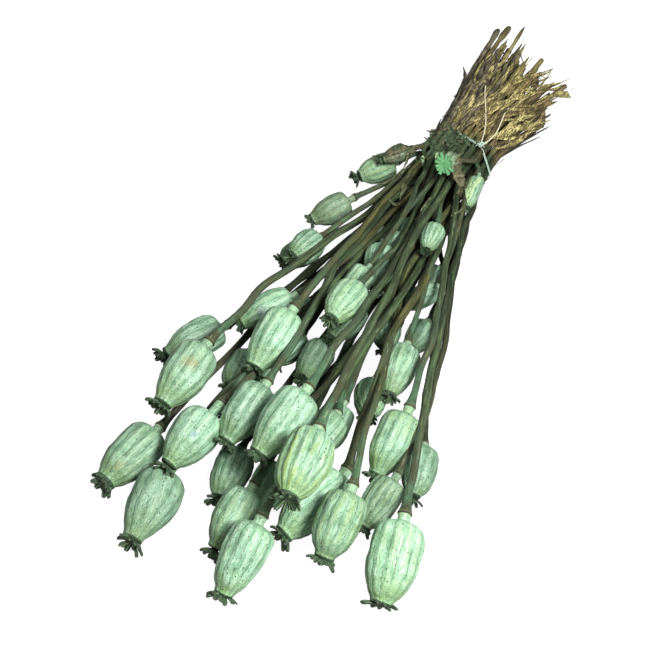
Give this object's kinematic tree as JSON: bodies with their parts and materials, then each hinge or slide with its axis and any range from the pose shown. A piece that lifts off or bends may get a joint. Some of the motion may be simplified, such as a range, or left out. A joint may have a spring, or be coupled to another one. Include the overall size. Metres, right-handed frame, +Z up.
{
  "type": "poppy seed head",
  "caption": "Tied bunch of dried poppy seed heads on their stems, lying flat: barrel-shaped heads with lobed crowns fan out from a thread tie near the cut ends.",
  "frame": {"origin": "on the surface the bunch lies on, under the middle of the bunch", "axes": "+X along the bunch, from the cut ends to the seed heads; +Y to the left of that; +Z up"},
  "size_m": [0.653, 0.2436, 0.0913],
  "materials": {
    "stalk": "dry, with a chalky bloom",
    "thread": "dull",
    "leaf": "dry"
  },
  "bodies": {
    "root": {"poppy_stalk_01": "stalk", "poppy_stalk_02": "stalk", "poppy_stalk_03": "stalk", "poppy_stalk_04": "stalk", "poppy_stalk_05": "stalk", "poppy_stalk_06": "stalk", "poppy_stalk_07": "stalk", "poppy_stalk_08": "stalk", "poppy_stalk_09": "stalk", "poppy_stalk_10": "stalk", "poppy_stalk_11": "stalk", "poppy_stalk_12": "stalk", "poppy_stalk_13": "stalk", "poppy_stalk_14": "stalk", "poppy_stalk_15": "stalk", "poppy_stalk_16": "stalk", "poppy_stalk_17": "stalk", "poppy_stalk_18": "stalk", "poppy_stalk_19": "stalk", "poppy_stalk_20": "stalk", "poppy_stalk_21": "stalk", "poppy_stalk_22": "stalk", "poppy_stalk_23": "stalk", "poppy_stalk_24": "stalk", "poppy_stalk_25": "stalk", "poppy_stalk_26": "stalk", "poppy_stalk_27": "stalk", "poppy_stalk_28": "stalk", "poppy_stalk_29": "stalk", "poppy_stalk_30": "stalk", "poppy_stalk_31": "stalk", "poppy_stalk_32": "stalk", "poppy_stalk_33": "stalk", "poppy_stalk_34": "stalk", "poppy_stalk_35": "stalk", "poppy_stalk_36": "stalk", "poppy_stalk_37": "stalk", "poppy_stalk_38": "stalk", "poppy_stalk_39": "stalk", "poppy_stalk_40": "stalk", "poppy_stalk_41": "stalk", "poppy_stalk_42": "stalk", "poppy_stalk_43": "stalk", "poppy_stalk_44": "stalk", "poppy_stalk_45": "stalk", "poppy_stalk_46": "stalk", "poppy_stalk_47": "stalk", "poppy_stalk_48": "stalk", "poppy_stalk_49": "stalk", "poppy_stalk_50": "stalk", "poppy_stalk_51": "stalk", "tie_thread": "thread", "tie_knot": "thread", "tie_tail_long": "thread", "tie_tail_short": "thread", "leaf_scrap_left": "leaf", "leaf_scrap_top": "leaf"}
  },
  "joints": []
}
